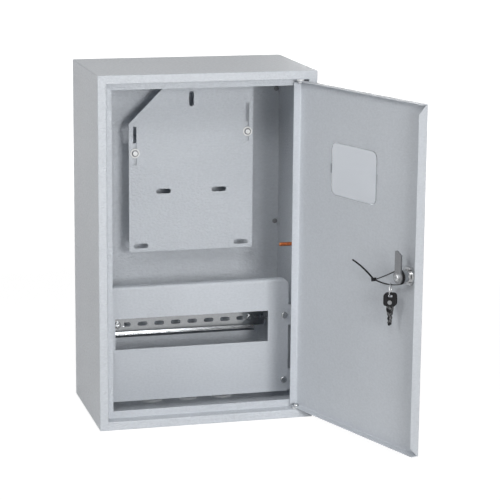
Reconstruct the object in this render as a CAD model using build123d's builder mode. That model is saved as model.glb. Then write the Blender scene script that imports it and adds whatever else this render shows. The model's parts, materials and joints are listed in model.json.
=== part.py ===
from build123d import *
from math import cos, radians, sin, sqrt
import os

# Wall-mounted steel enclosure for an electricity meter and a row of rail-mounted devices.
# Millimetres, +Z up, origin in the middle of the cabinet's underside, door side towards -Y.
# The door is modelled standing open.

# Cabinet shell, one folded sheet with a rebated front frame
WIDTH = 310.0
HEIGHT = 500.0
DEPTH = 190.0
SHEET = 1.0
BEND_INSIDE = 0.8       # inside radius of the cabinet's folds
CORNER_INSIDE = 1.0     # inside radius of the long edges from front to back
FRONT_FLANGE = 12.5     # side wall's outer face to the door opening
REBATE_DEPTH = 18.0     # front face to the door's stop lip
STOP_LIP = 10.0
SEAM = 0.35             # width and depth of the mitre seams at the frame's corners
WELD_GAP = 0.1

# Cable entries in the floor, closed by plastic blanks
ENTRY = 28.0
ENTRY_PITCH = 53.0
ENTRY_COUNT = 3
ENTRY_FROM_BACK = 57.0
BLANK_EASE = 0.15
BLANK_RIM = 2.0
BLANK_HEAD = 3.0
BLANK_ROUND = 1.5
BLANK_WALL = 1.5

# Back panel
WALL_HOLE = 8.0
WALL_HOLE_FROM_SIDE = 40.0
WALL_HOLE_FROM_END = 30.0
LUG_HEIGHT = 12.0
LUG_DEPTH = 8.0
LUG_PITCH = 200.0
LUG_COUNT = 3

# Meter plate, its slots measured from the plate's own edges
PLATE_WIDTH = 185.0
PLATE_HEIGHT = 239.0
PLATE_SHEET = 1.5
PLATE_X = 10.5
PLATE_FROM_TOP = 40.0
PLATE_STANDOFF = 39.0
PLATE_CHAMFER = 50.0
PLATE_CORNER = 2.0
METER_SLOT_LENGTH = 22.0
METER_SLOT_WIDTH = 7.0
TOP_SLOT_DROP = 16.0
MID_SLOTS_APART = 83.0
MID_SLOT_DROP = 150.0
LOW_SLOT_INSET = 17.5
LOW_SLOT_RISE = 9.0
HANGER_SLOT_LENGTH = 56.0
HANGER_SLOT_EASE = 0.5
HANGER_INSET = 8.8      # plate's side edge to the hanger slot's middle line
LEFT_HANGER_DROP = 82.5
RIGHT_HANGER_DROP = 52.0
LEFT_SCREW_DROP = 93.0
RIGHT_SCREW_DROP = 66.0

# Brackets of thicker sheet
BRACKET_SHEET = 1.5
BRACKET_BEND_INSIDE = 0.5
METER_BRACKET_HEIGHT = 60.0
METER_BRACKET_ABOVE = 14.0
METER_BRACKET_FACE = 14.0
METER_BRACKET_FOOT = 18.0
METER_BOSS = 9.0        # embossed seat under the plate's screw
METER_BOSS_RISE = 1.5

# Screws, one size for the plate, the rail and the front panel
SCREW = 4.0
SCREW_HEAD = 9.5
SCREW_HEAD_HEIGHT = 2.6
SCREW_LENGTH = 8.0
SCREW_EASE = 0.15
RECESS_WIDTH = 1.0
RECESS_LENGTH = 4.4
RECESS_DEPTH = 1.2
NUT_WALL = 1.5
NUT_HEIGHT = 3.2
CUP_WASHER_HEIGHT = 2.0
CUP_WASHER_RIM = 1.2
CUP_WASHER_PLAY = 0.3
CUP_WASHER_ROUND = 0.5

# Top-hat rail, 35 by 7.5
RAIL_HEIGHT = 35.0
RAIL_DEPTH = 7.5
RAIL_HAT = 25.0         # clear height inside the hat
RAIL_SHEET = 1.0
RAIL_BEND_INSIDE = 0.2
RAIL_END = 6.0          # end screw to the rail's cut end
RAIL_Z = 113.0
RAIL_STANDOFF = 38.5    # back panel to the rail's back
RAIL_SLOT_LENGTH = 15.0
RAIL_SLOT_WIDTH = 6.2
RAIL_SLOT_PITCH = 25.0
RAIL_SLOT_CLEAR = 5.0   # end screw to the nearest slot, at least
RAIL_BRACKET_HEIGHT = 24.0
RAIL_BRACKET_FACE = 34.0
RAIL_BRACKET_FOOT = 20.0
RAIL_BRACKET_FROM_WALL = 10.0
RAIL_SCREW_FROM_BEND = 24.0
SPARE_HOLE = 4.2
SPARE_HOLES_FROM_BEND = (5.5, 13.5)

# Front panel over the rail
PANEL_BEFORE_RAIL = 48.0
PANEL_SIDE_GAP = 9.5
PANEL_SIDE_BAND = 25.0  # panel's side edge to the window, at least
PANEL_TOP = 182.5
PANEL_BOTTOM = 12.5
PANEL_RETURN = 12.0
PANEL_BEND = 4.0
PANEL_CORNER = 10.0
MODULE_WIDTH = 17.5
WINDOW_HEIGHT = 46.0
PANEL_SCREW_INSET = 5.8
PANEL_SCREW_HIGH = 128.0
PANEL_SCREW_LOW = 30.0
PANEL_SLOT_LENGTH = 13.0
PANEL_SLOT_SHIFT = 3.8
PANEL_BRACKET_HEIGHT = 31.0
PANEL_BRACKET_FACE = 24.0
PANEL_BRACKET_LEG = 15.0

# Earth stud on the right wall
STUD = 6.0
STUD_LENGTH = 23.0
STUD_FLANGE = 9.0
STUD_FLANGE_HEIGHT = 1.0
STUD_CHAMFER = 0.8
STUD_Y = 5.0
STUD_Z = 233.5

# Door pan, hung on two vertical pins
DOOR_GAP = 2.0
DOOR_BEND = 2.5
DOOR_FLANGE = 12.0
FREE_FLANGE_CLEAR = 3.0     # free flange's edge to the stop lip when shut
FLANGE_MITRE = 13.0
CORNER_RELIEF = 1.0
HINGE_SETBACK = 7.0         # door's outer face to the hinge axis
HINGE_EDGE_MORE = 1.5       # how much further the door's hinge edge is from the axis than its face
OPEN_ANGLE = 109.0
PIN = 5.0
PIN_PLAY = 0.08
PIN_RIVET_EASE = 0.02
PIN_REACH = 3.0
PIN_HEAD_RIM = 2.0
PIN_HEAD_HEIGHT = 3.0
HINGE_WASHER_RIM = 2.5
HINGE_WASHER_PLAY = 0.1

# Clear pane in the door
PANE_WIDTH = 100.0
PANE_HEIGHT = 72.5
PANE_RADIUS = 10.0
PANE_FROM_HINGE_EDGE = 128.0
PANE_FROM_TOP = 113.0
PANE_EASE = 0.25
PANE_RIM = 4.0
PANE_RIM_THICKNESS = 1.2
PANE_PROUD = 1.1        # how far the pane stands out inside the door
PANE_HOOK = 1.2
PANE_HOOK_HEIGHT = 13.0
PANE_HOOK_THICKNESS = 1.5
PANE_HOOK_EASE = 0.1

# Cam lock near the free edge
LOCK_FROM_EDGE = 28.0
LOCK_ABOVE_MIDDLE = 5.5
LOCK_HEAD_RIM = 2.0
LOCK_HEAD_HEIGHT = 2.5
BARREL = 18.0
BARREL_FLATS = 16.0
BARREL_HOLE_EASE = 0.15
PLUG = 12.0
PLUG_PLAY = 0.08
PLUG_RECESS = 0.4
KEYWAY_WIDTH = 2.4
KEYWAY_HEIGHT = 8.5
KEYWAY_DEPTH = 14.0
LOCK_NUT_RIM = 3.0
LOCK_NUT_HEIGHT = 4.0
CAM_CLEAR_OF_LIP = 0.6
CAM_CLEAR_OF_BARREL = 0.3
CAM_THICKNESS = 2.0
CAM_REACH = 35.0
CAM_WIDTH = 13.0
CAM_HUB = 9.0
CAM_TIP_FLAT = 4.5
CAM_TIP_SLOPE = 5.0
CAM_TIP_RADIUS = 2.5
CAM_SQUARE = 7.0
CAM_SQUARE_EASE = 0.1
CAM_SQUARE_SHORT = 0.2
CAM_WASHER_RIM = 0.75
CAM_WASHER_THICKNESS = 0.8

# Nylon cable tie round the lock barrel, with the key bunch
TIE_WIDTH = 2.4
TIE_THICKNESS = 1.1
TIE_EASE = 0.2
TIE_BEHIND_FACE = 17.8
TIE_REACH = 57.0
TIE_DROOP = 14.5
TIE_UPPER_LEAVES = 62.0     # angle round the barrel at which the upper strand leaves it
TIE_LOWER_LEAVES = 253.0
TIE_HEAD_LENGTH = 6.0
TIE_HEAD_WIDTH = 4.6
TIE_HEAD_DEPTH = 4.2
TIE_TAIL = (47.5, 18.0)
TIE_TAIL_BOW = 2.0
RING_ALONG_STRAND = 0.38    # share of the lower strand from the barrel
RING_RADIUS = 8.7
RING_WIRE = 1.4
RING_CLEAR = 0.35
KEY_TWIST = 42.0
KEY_SPLAY = 9.0
KEY_GAP = 0.4
BOW_WIDTH = 16.5
BOW_HEIGHT = 15.0
BOW_THICKNESS = 4.0
BOW_CORNER = 3.5
BOW_EYE_WIDTH = 7.0
BOW_EYE_HEIGHT = 4.6
BOW_EYE_DROP = 3.4
BLADE_THICKNESS = 2.0
NECK_WIDTH = 8.7
NECK_LENGTH = 11.0
BLADE_WIDTH = 5.8
BLADE_LENGTH = 13.0
BLADE_CUT = 0.8
BLADE_STEPS = 4

# Sizes and places that follow from the ones above
BEND = SHEET + BEND_INSIDE
CORNER = SHEET + CORNER_INSIDE
FRONT = -DEPTH / 2
BACK = DEPTH / 2
BACK_FACE = BACK - SHEET
WALL_FACE = WIDTH / 2 - SHEET
BACK_WIDTH = WIDTH - 2 * (SHEET + WELD_GAP)
BACK_HEIGHT = HEIGHT - 2 * (SHEET + WELD_GAP)
MIDDLE = (0, HEIGHT / 2)
OPENING_WIDTH = WIDTH - 2 * FRONT_FLANGE
OPENING_HEIGHT = HEIGHT - 2 * FRONT_FLANGE
LIP_FACE = FRONT + REBATE_DEPTH
ENTRY_Y = BACK - ENTRY_FROM_BACK
CORNERS = [(-1, -1), (-1, 1), (1, -1), (1, 1)]
SIDES = {"left": -1, "right": 1}

PLATE_BACK = BACK_FACE - PLATE_STANDOFF
PLATE_FACE = PLATE_BACK - PLATE_SHEET
PLATE_TOP = HEIGHT - PLATE_FROM_TOP
PLATE_BOTTOM = PLATE_TOP - PLATE_HEIGHT
LEFT_HANGER_X = PLATE_X - PLATE_WIDTH / 2 + HANGER_INSET
RIGHT_HANGER_X = PLATE_X + PLATE_WIDTH / 2 - HANGER_INSET
HANGER_SLOT_WIDTH = SCREW + 2 * HANGER_SLOT_EASE
HANGER_SLOTS = [
    (LEFT_HANGER_X, PLATE_TOP - LEFT_HANGER_DROP),
    (RIGHT_HANGER_X, PLATE_TOP - RIGHT_HANGER_DROP),
]
METER_SCREWS = [
    (LEFT_HANGER_X, PLATE_TOP - LEFT_SCREW_DROP),
    (RIGHT_HANGER_X, PLATE_TOP - RIGHT_SCREW_DROP),
]
LOW_SLOTS_APART = PLATE_WIDTH - 2 * LOW_SLOT_INSET
METER_SLOT_ROWS = [
    (MID_SLOTS_APART, PLATE_TOP - MID_SLOT_DROP),
    (LOW_SLOTS_APART, PLATE_BOTTOM + LOW_SLOT_RISE),
]
BRACKET_BEND = BRACKET_SHEET + BRACKET_BEND_INSIDE
METER_BRACKET_Y = PLATE_BACK + METER_BOSS_RISE

SCREW_HOLE = SCREW + 2 * SCREW_EASE
NUT_ACROSS_FLATS = SCREW + 2 * NUT_WALL
CUP_WASHER_BOWL = SCREW_HEAD + 2 * CUP_WASHER_PLAY
CUP_WASHER = CUP_WASHER_BOWL + 2 * CUP_WASHER_RIM

RAIL_BACK = BACK_FACE - RAIL_STANDOFF
RAIL_FACE = RAIL_BACK - RAIL_DEPTH
RAIL_BEND = RAIL_SHEET + RAIL_BEND_INSIDE
WEB_FACE = RAIL_BACK - RAIL_SHEET
RAIL_BRACKET_OUTER = WALL_FACE - RAIL_BRACKET_FROM_WALL - RAIL_BRACKET_FOOT
RAIL_SCREW_X = RAIL_BRACKET_OUTER - RAIL_SCREW_FROM_BEND
RAIL_SCREWS = [(-RAIL_SCREW_X, RAIL_Z), (RAIL_SCREW_X, RAIL_Z)]
RAIL_LENGTH = 2 * (RAIL_SCREW_X + RAIL_END)
RAIL_SLOT_SPAN = 2 * (RAIL_SCREW_X - RAIL_SLOT_CLEAR) - RAIL_SLOT_LENGTH
RAIL_SLOT_COUNT = int(RAIL_SLOT_SPAN // RAIL_SLOT_PITCH) + 1

PANEL_Y = RAIL_FACE - PANEL_BEFORE_RAIL
PANEL_BACK = PANEL_Y + SHEET
PANEL_WIDTH = 2 * (WALL_FACE - PANEL_SIDE_GAP)
MODULE_COUNT = int((PANEL_WIDTH - 2 * PANEL_SIDE_BAND) // MODULE_WIDTH)
WINDOW_WIDTH = MODULE_WIDTH * MODULE_COUNT
PANEL_SCREW_X = PANEL_WIDTH / 2 - PANEL_SCREW_INSET
PANEL_SCREWS = [(s * PANEL_SCREW_X, z) for s in (-1, 1) for z in (PANEL_SCREW_LOW, PANEL_SCREW_HIGH)]

DOOR_WIDTH = OPENING_WIDTH - 2 * DOOR_GAP
DOOR_HEIGHT = OPENING_HEIGHT - 2 * DOOR_GAP
DOOR_LOW = FRONT_FLANGE + DOOR_GAP
DOOR_HIGH = HEIGHT - DOOR_LOW
FREE_FLANGE = REBATE_DEPTH - FREE_FLANGE_CLEAR
HINGE_EDGE = HINGE_SETBACK + HINGE_EDGE_MORE
HINGE_X = WIDTH / 2 - FRONT_FLANGE - DOOR_GAP - HINGE_EDGE
HINGE_Y = FRONT + HINGE_SETBACK
PIN_HEAD = PIN + 2 * PIN_HEAD_RIM
HINGE_WASHER = PIN + 2 * HINGE_WASHER_RIM

# The door's own frame: origin on the hinge axis, y into the cabinet, and x along the shut door,
# away from its free edge
DOOR = Plane(
    origin=(HINGE_X, HINGE_Y, 0),
    x_dir=(cos(radians(OPEN_ANGLE)), sin(radians(OPEN_ANGLE)), 0),
    z_dir=(0, 0, 1),
)
DOOR_OUT = -HINGE_SETBACK
DOOR_IN = DOOR_OUT + SHEET
FREE_EDGE = HINGE_EDGE - DOOR_WIDTH
DOOR_MIDDLE = (HINGE_EDGE - DOOR_WIDTH / 2, HEIGHT / 2)
INWARD = Axis(DOOR.origin, DOOR.y_dir)
PANE_MIDDLE = (HINGE_EDGE - PANE_FROM_HINGE_EDGE, DOOR_HIGH - PANE_FROM_TOP)

LOCK = (FREE_EDGE + LOCK_FROM_EDGE, HEIGHT / 2 + LOCK_ABOVE_MIDDLE)
LOCK_HEAD = BARREL + 2 * LOCK_HEAD_RIM
LOCK_NUT_FLATS = BARREL + 2 * LOCK_NUT_RIM
PLUG_FACE = DOOR_OUT - LOCK_HEAD_HEIGHT + PLUG_RECESS
CAM_FACE = DOOR_OUT + REBATE_DEPTH + SHEET + CAM_CLEAR_OF_LIP
CAM_BACK = CAM_FACE + CAM_THICKNESS
BARREL_END = CAM_FACE - CAM_CLEAR_OF_BARREL
CAM_WASHER = SCREW_HEAD + 2 * CAM_WASHER_RIM
CAM_SCREW_SEAT = CAM_BACK + CAM_WASHER_THICKNESS
CAM_SCREW_LENGTH = SCREW_LENGTH - SCREW_EASE
TIE_Y = DOOR_OUT + TIE_BEHIND_FACE
TIE_INNER = BARREL / 2 + TIE_EASE
TIE_OUTER = TIE_INNER + TIE_THICKNESS


def facing_front(y):
    """Plane seen from the front at depth y: sketch x is +X, sketch y is +Z, extrusion towards -Y."""
    return Plane.XZ.offset(-y)


def door_face(y):
    """Plane seen from outside the door at its depth y: sketch x and y are the door's x and z."""
    return Plane(origin=DOOR.from_local_coords((0, y, 0)), x_dir=DOOR.x_dir, z_dir=-DOOR.y_dir)


def door_back(y):
    """Plane seen from inside the door at its depth -y: sketch x runs against the door's x."""
    return Plane(origin=DOOR.from_local_coords((0, -y, 0)), x_dir=-DOOR.x_dir, z_dir=DOOR.y_dir)


def around_lock(radius, angle):
    """Point of the door's face at a radius from the lock's axis and an angle from the door's x."""
    return (LOCK[0] + radius * cos(radians(angle)), LOCK[1] + radius * sin(radians(angle)))


def level_face(piece, y):
    """The piece's face at depth y that looks straight forwards or backwards."""
    return piece.faces().filter_by(Axis.Y).sort_by(lambda face: abs(face.center().Y - y))[0]


def save(piece, name):
    """Label a finished piece and write it as its own STEP file."""
    piece.part.label = name
    export_step(piece.part, f"parts/{name}.step")


def pan_head_screws(places, seat, plane_at, length):
    """Pan head screws with cross recesses, heads on the seat plane and shanks behind it."""
    outward = Axis(plane_at(seat).origin, plane_at(seat).z_dir)
    with BuildPart() as screws:
        with BuildSketch(plane_at(seat)):
            with Locations(*places):
                Circle(SCREW_HEAD / 2)
        extrude(amount=SCREW_HEAD_HEIGHT)
        rims = screws.edges().filter_by(GeomType.CIRCLE).group_by(outward)[-1]
        fillet(rims, SCREW_HEAD_HEIGHT / 2)
        with BuildSketch(plane_at(seat - SCREW_HEAD_HEIGHT)):
            with Locations(*places):
                Rectangle(RECESS_LENGTH, RECESS_WIDTH)
                Rectangle(RECESS_WIDTH, RECESS_LENGTH)
        extrude(amount=-RECESS_DEPTH, mode=Mode.SUBTRACT)
        with BuildSketch(plane_at(seat)):
            with Locations(*places):
                Circle(SCREW / 2)
        extrude(amount=-length)
    return screws


os.makedirs("parts", exist_ok=True)

# Cabinet shell
with BuildPart() as housing:
    with BuildSketch(facing_front(BACK)):
        with Locations(MIDDLE):
            RectangleRounded(WIDTH, HEIGHT, CORNER)
            RectangleRounded(WIDTH - 2 * SHEET, HEIGHT - 2 * SHEET, CORNER_INSIDE, mode=Mode.SUBTRACT)
    extrude(amount=DEPTH)
    with BuildSketch(facing_front(FRONT)):
        with Locations(MIDDLE):
            RectangleRounded(WIDTH, HEIGHT, CORNER)
            Rectangle(OPENING_WIDTH, OPENING_HEIGHT, mode=Mode.SUBTRACT)
    extrude(amount=-SHEET)
    with BuildSketch(facing_front(FRONT)):
        with Locations(MIDDLE):
            Rectangle(OPENING_WIDTH + 2 * SHEET, OPENING_HEIGHT + 2 * SHEET)
            Rectangle(OPENING_WIDTH, OPENING_HEIGHT, mode=Mode.SUBTRACT)
    extrude(amount=-REBATE_DEPTH - SHEET)
    with BuildSketch(facing_front(LIP_FACE)):
        with Locations(MIDDLE):
            Rectangle(OPENING_WIDTH + 2 * SHEET, OPENING_HEIGHT + 2 * SHEET)
            Rectangle(OPENING_WIDTH - 2 * STOP_LIP, OPENING_HEIGHT - 2 * STOP_LIP, mode=Mode.SUBTRACT)
    extrude(amount=-SHEET)
    # Folds: outside radius where the sheet is convex, inside radius in the hollow behind it
    fillet(housing.faces().sort_by(Axis.Y)[0].edges(), BEND)
    fillet(level_face(housing, FRONT + SHEET).edges(), BEND_INSIDE)
    fillet(level_face(housing, LIP_FACE + SHEET).outer_wire().edges(), BEND)
    fillet(level_face(housing, LIP_FACE).outer_wire().edges(), BEND_INSIDE)
    # Mitre seams of the front flange and of the stop lip, cut right through to the inner corners
    for depth, width, height, flange in (
        (FRONT, WIDTH, HEIGHT, FRONT_FLANGE),
        (LIP_FACE, OPENING_WIDTH, OPENING_HEIGHT, STOP_LIP),
    ):
        reach = flange + SEAM
        with BuildSketch(facing_front(depth)):
            for side, level in CORNERS:
                with Locations((side * (width - reach) / 2, (HEIGHT + level * (height - reach)) / 2)):
                    Rectangle(reach * sqrt(2), SEAM, rotation=45 * side * level)
        extrude(amount=-SEAM, mode=Mode.SUBTRACT)
    # Hinge pin holes in the rebate's floor and ceiling
    with Locations(*[(HINGE_X, HINGE_Y, z) for z in (FRONT_FLANGE, HEIGHT - FRONT_FLANGE)]):
        Cylinder(PIN / 2 + PIN_PLAY, 2 * SHEET + BEND_INSIDE, mode=Mode.SUBTRACT)
    # Cable entries in the floor
    with BuildSketch(Plane.XY):
        with Locations((0, ENTRY_Y)):
            with GridLocations(ENTRY_PITCH, 1, ENTRY_COUNT, 1):
                Circle(ENTRY / 2)
    extrude(amount=SHEET, mode=Mode.SUBTRACT)
save(housing, "housing")

# Cup-shaped blanks pushed into the cable entries from inside, flush with the underside
with BuildPart() as cable_blanks:
    with BuildSketch(Plane.XY.offset(SHEET)):
        with Locations((0, ENTRY_Y)):
            with GridLocations(ENTRY_PITCH, 1, ENTRY_COUNT, 1):
                Circle(ENTRY / 2 + BLANK_RIM)
    extrude(amount=BLANK_HEAD)
    fillet(cable_blanks.edges().group_by(Axis.Z)[-1], BLANK_ROUND)
    with BuildSketch(Plane.XY):
        with Locations((0, ENTRY_Y)):
            with GridLocations(ENTRY_PITCH, 1, ENTRY_COUNT, 1):
                Circle(ENTRY / 2 - BLANK_EASE)
    extrude(amount=SHEET)
    with BuildSketch(Plane.XY):
        with Locations((0, ENTRY_Y)):
            with GridLocations(ENTRY_PITCH, 1, ENTRY_COUNT, 1):
                Circle(ENTRY / 2 - BLANK_EASE - BLANK_WALL)
    extrude(amount=SHEET + BLANK_HEAD - BLANK_WALL, mode=Mode.SUBTRACT)
save(cable_blanks, "cable_blanks")

# Back panel with wall holes and side lugs, spot welded inside the shell
with BuildPart() as back_panel:
    with BuildSketch(facing_front(BACK)):
        with Locations(MIDDLE):
            RectangleRounded(BACK_WIDTH, BACK_HEIGHT, CORNER_INSIDE)
            with GridLocations(WIDTH - 2 * WALL_HOLE_FROM_SIDE, HEIGHT - 2 * WALL_HOLE_FROM_END, 2, 2):
                Circle(WALL_HOLE / 2, mode=Mode.SUBTRACT)
    extrude(amount=SHEET)
    with BuildSketch(facing_front(BACK_FACE)):
        with Locations(MIDDLE):
            with GridLocations(BACK_WIDTH - SHEET, LUG_PITCH, 2, LUG_COUNT):
                Rectangle(SHEET, LUG_HEIGHT)
    extrude(amount=LUG_DEPTH)
save(back_panel, "back_panel")

# Meter plate with one corner cut away, fixing slots for the meter and hanger slots for height adjustment
with BuildPart() as meter_plate:
    with BuildSketch(facing_front(PLATE_BACK)) as plate_outline:
        with Locations((PLATE_X, PLATE_BOTTOM + PLATE_HEIGHT / 2)):
            Rectangle(PLATE_WIDTH, PLATE_HEIGHT)
        top_left = plate_outline.vertices().sort_by(Axis.X)[:2].sort_by(Axis.Y)[-1]
        chamfer(top_left, PLATE_CHAMFER)
        fillet(plate_outline.vertices(), PLATE_CORNER)
        with Locations((PLATE_X, PLATE_TOP - TOP_SLOT_DROP)):
            SlotOverall(METER_SLOT_LENGTH, METER_SLOT_WIDTH, rotation=90, mode=Mode.SUBTRACT)
        for apart, z in METER_SLOT_ROWS:
            with Locations((PLATE_X - apart / 2, z), (PLATE_X + apart / 2, z)):
                SlotOverall(METER_SLOT_LENGTH, METER_SLOT_WIDTH, mode=Mode.SUBTRACT)
        with Locations(*HANGER_SLOTS):
            Rectangle(HANGER_SLOT_WIDTH, HANGER_SLOT_LENGTH, mode=Mode.SUBTRACT)
    extrude(amount=PLATE_SHEET)
save(meter_plate, "meter_plate")

# Z brackets that carry the meter plate: face behind the hanger slot, web, and foot on the back panel,
# turned inwards so that the plate covers them
for (name, side), (screw_x, screw_z) in zip(SIDES.items(), METER_SCREWS):
    tip_x = screw_x + side * METER_BRACKET_FACE / 2
    web_x = screw_x - side * METER_BRACKET_FACE / 2
    with BuildPart() as meter_bracket:
        with BuildSketch(Plane.XY.offset(screw_z + METER_BRACKET_ABOVE - METER_BRACKET_HEIGHT)):
            with BuildLine():
                FilletPolyline(
                    (tip_x, METER_BRACKET_Y),
                    (web_x, METER_BRACKET_Y),
                    (web_x, BACK_FACE - BRACKET_SHEET),
                    (web_x - side * METER_BRACKET_FOOT, BACK_FACE - BRACKET_SHEET),
                    radius=[BRACKET_BEND, BRACKET_BEND_INSIDE],
                )
                offset(amount=BRACKET_SHEET, side=Side.RIGHT if side > 0 else Side.LEFT)
            make_face()
        extrude(amount=METER_BRACKET_HEIGHT)
        with BuildSketch(facing_front(METER_BRACKET_Y)):
            with Locations((screw_x, screw_z)):
                Circle(METER_BOSS / 2)
        extrude(amount=METER_BOSS_RISE)
        with BuildSketch(facing_front(PLATE_BACK)):
            with Locations((screw_x, screw_z)):
                Circle(SCREW_HOLE / 2)
        extrude(amount=-METER_BOSS_RISE - BRACKET_SHEET, mode=Mode.SUBTRACT)
    save(meter_bracket, f"meter_bracket_{name}")

# White cup washers and screws that clamp the meter plate to its brackets
with BuildPart() as meter_washers:
    with BuildSketch(facing_front(PLATE_FACE)):
        with Locations(*METER_SCREWS):
            Circle(CUP_WASHER / 2)
            Circle(SCREW_HOLE / 2, mode=Mode.SUBTRACT)
    extrude(amount=CUP_WASHER_HEIGHT)
    with BuildSketch(facing_front(PLATE_FACE - CUP_WASHER_HEIGHT)):
        with Locations(*METER_SCREWS):
            Circle(CUP_WASHER_BOWL / 2)
    extrude(amount=-CUP_WASHER_HEIGHT / 2, mode=Mode.SUBTRACT)
    fillet(meter_washers.edges().group_by(Axis.Y)[0], CUP_WASHER_ROUND)
save(meter_washers, "meter_plate_washers")
METER_SCREW_SEAT = PLATE_FACE - CUP_WASHER_HEIGHT / 2
METER_SCREW_LENGTH = SCREW_LENGTH + CUP_WASHER_HEIGHT
save(pan_head_screws(METER_SCREWS, METER_SCREW_SEAT, facing_front, METER_SCREW_LENGTH), "meter_plate_screws")

# Perforated top-hat rail
with BuildPart() as din_rail:
    with BuildSketch(Plane.YZ.offset(-RAIL_LENGTH / 2)):
        with BuildLine():
            FilletPolyline(
                (RAIL_FACE, RAIL_Z - RAIL_HEIGHT / 2),
                (RAIL_FACE, RAIL_Z - RAIL_HAT / 2),
                (WEB_FACE, RAIL_Z - RAIL_HAT / 2),
                (WEB_FACE, RAIL_Z + RAIL_HAT / 2),
                (RAIL_FACE, RAIL_Z + RAIL_HAT / 2),
                (RAIL_FACE, RAIL_Z + RAIL_HEIGHT / 2),
                radius=[RAIL_BEND, RAIL_BEND_INSIDE, RAIL_BEND_INSIDE, RAIL_BEND],
            )
            offset(amount=RAIL_SHEET, side=Side.RIGHT)
        make_face()
    extrude(amount=RAIL_LENGTH)
    with BuildSketch(facing_front(RAIL_BACK)):
        with Locations((0, RAIL_Z)):
            with GridLocations(RAIL_SLOT_PITCH, 1, RAIL_SLOT_COUNT, 1):
                SlotOverall(RAIL_SLOT_LENGTH, RAIL_SLOT_WIDTH)
        with Locations(*RAIL_SCREWS):
            Circle(SCREW_HOLE / 2)
    extrude(amount=RAIL_SHEET, mode=Mode.SUBTRACT)
save(din_rail, "din_rail")

# Z brackets that carry the rail in front of the back panel
for name, side in SIDES.items():
    with BuildPart() as rail_bracket:
        with BuildSketch(Plane.XY.offset(RAIL_Z - RAIL_BRACKET_HEIGHT / 2)):
            with BuildLine():
                FilletPolyline(
                    (side * (RAIL_BRACKET_OUTER - RAIL_BRACKET_FACE), RAIL_BACK),
                    (side * RAIL_BRACKET_OUTER, RAIL_BACK),
                    (side * RAIL_BRACKET_OUTER, BACK_FACE - BRACKET_SHEET),
                    (side * (RAIL_BRACKET_OUTER + RAIL_BRACKET_FOOT), BACK_FACE - BRACKET_SHEET),
                    radius=[BRACKET_BEND, BRACKET_BEND_INSIDE],
                )
                offset(amount=BRACKET_SHEET, side=Side.LEFT if side > 0 else Side.RIGHT)
            make_face()
        extrude(amount=RAIL_BRACKET_HEIGHT)
        with BuildSketch(facing_front(RAIL_BACK)):
            with Locations((side * RAIL_SCREW_X, RAIL_Z)):
                Circle(SCREW_HOLE / 2)
            for from_bend in SPARE_HOLES_FROM_BEND:
                with Locations((side * (RAIL_BRACKET_OUTER - from_bend), RAIL_Z)):
                    Circle(SPARE_HOLE / 2)
        extrude(amount=-BRACKET_SHEET, mode=Mode.SUBTRACT)
    save(rail_bracket, f"din_bracket_{name}")

save(pan_head_screws(RAIL_SCREWS, WEB_FACE, facing_front, SCREW_LENGTH), "rail_screws")
with BuildPart() as rail_nuts:
    with BuildSketch(facing_front(RAIL_BACK + BRACKET_SHEET)):
        with Locations(*RAIL_SCREWS):
            RegularPolygon(NUT_ACROSS_FLATS / 2, 6, major_radius=False)
            Circle(SCREW_HOLE / 2, mode=Mode.SUBTRACT)
    extrude(amount=-NUT_HEIGHT)
save(rail_nuts, "rail_nuts")

# Front panel over the rail: top edge folded back, rounded top corners, window for the devices
with BuildPart() as front_panel:
    with BuildSketch(Plane.YZ.offset(-PANEL_WIDTH / 2)):
        with BuildLine():
            FilletPolyline(
                (PANEL_Y, PANEL_BOTTOM),
                (PANEL_Y, PANEL_TOP),
                (PANEL_Y + PANEL_RETURN, PANEL_TOP),
                radius=PANEL_BEND,
            )
            offset(amount=SHEET, side=Side.RIGHT)
        make_face()
    extrude(amount=PANEL_WIDTH)
    with BuildSketch(facing_front(PANEL_Y)) as panel_outline:
        with Locations((0, (PANEL_TOP + PANEL_BOTTOM) / 2)):
            Rectangle(PANEL_WIDTH, PANEL_TOP - PANEL_BOTTOM)
        fillet(panel_outline.vertices().group_by(Axis.Y)[-1], PANEL_CORNER)
    extrude(amount=-PANEL_RETURN, mode=Mode.INTERSECT)
    with BuildSketch(facing_front(PANEL_Y)):
        with Locations((0, RAIL_Z)):
            Rectangle(WINDOW_WIDTH, WINDOW_HEIGHT)
        for x, z in PANEL_SCREWS:
            shift = PANEL_SLOT_SHIFT if z == PANEL_SCREW_HIGH else -PANEL_SLOT_SHIFT
            with Locations((x, z + shift)):
                SlotOverall(PANEL_SLOT_LENGTH, SCREW_HOLE, rotation=90)
    extrude(amount=-SHEET, mode=Mode.SUBTRACT)
save(front_panel, "front_panel")

# Angle brackets welded to the side walls, which the front panel is screwed to
for name, side in SIDES.items():
    for level, z in (("lower", PANEL_SCREW_LOW), ("upper", PANEL_SCREW_HIGH)):
        with BuildPart() as panel_bracket:
            with BuildSketch(Plane.XY.offset(z - PANEL_BRACKET_HEIGHT / 2)):
                with BuildLine():
                    FilletPolyline(
                        (side * (WALL_FACE - PANEL_BRACKET_FACE), PANEL_BACK),
                        (side * WALL_FACE, PANEL_BACK),
                        (side * WALL_FACE, PANEL_BACK + PANEL_BRACKET_LEG),
                        radius=BRACKET_BEND,
                    )
                    offset(amount=BRACKET_SHEET, side=Side.LEFT if side > 0 else Side.RIGHT)
                make_face()
            extrude(amount=PANEL_BRACKET_HEIGHT)
            with BuildSketch(facing_front(PANEL_BACK)):
                with Locations((side * PANEL_SCREW_X, z)):
                    Circle(SCREW_HOLE / 2)
            extrude(amount=-BRACKET_SHEET, mode=Mode.SUBTRACT)
        save(panel_bracket, f"panel_bracket_{level}_{name}")
save(pan_head_screws(PANEL_SCREWS, PANEL_Y, facing_front, SCREW_LENGTH), "panel_screws")

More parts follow.
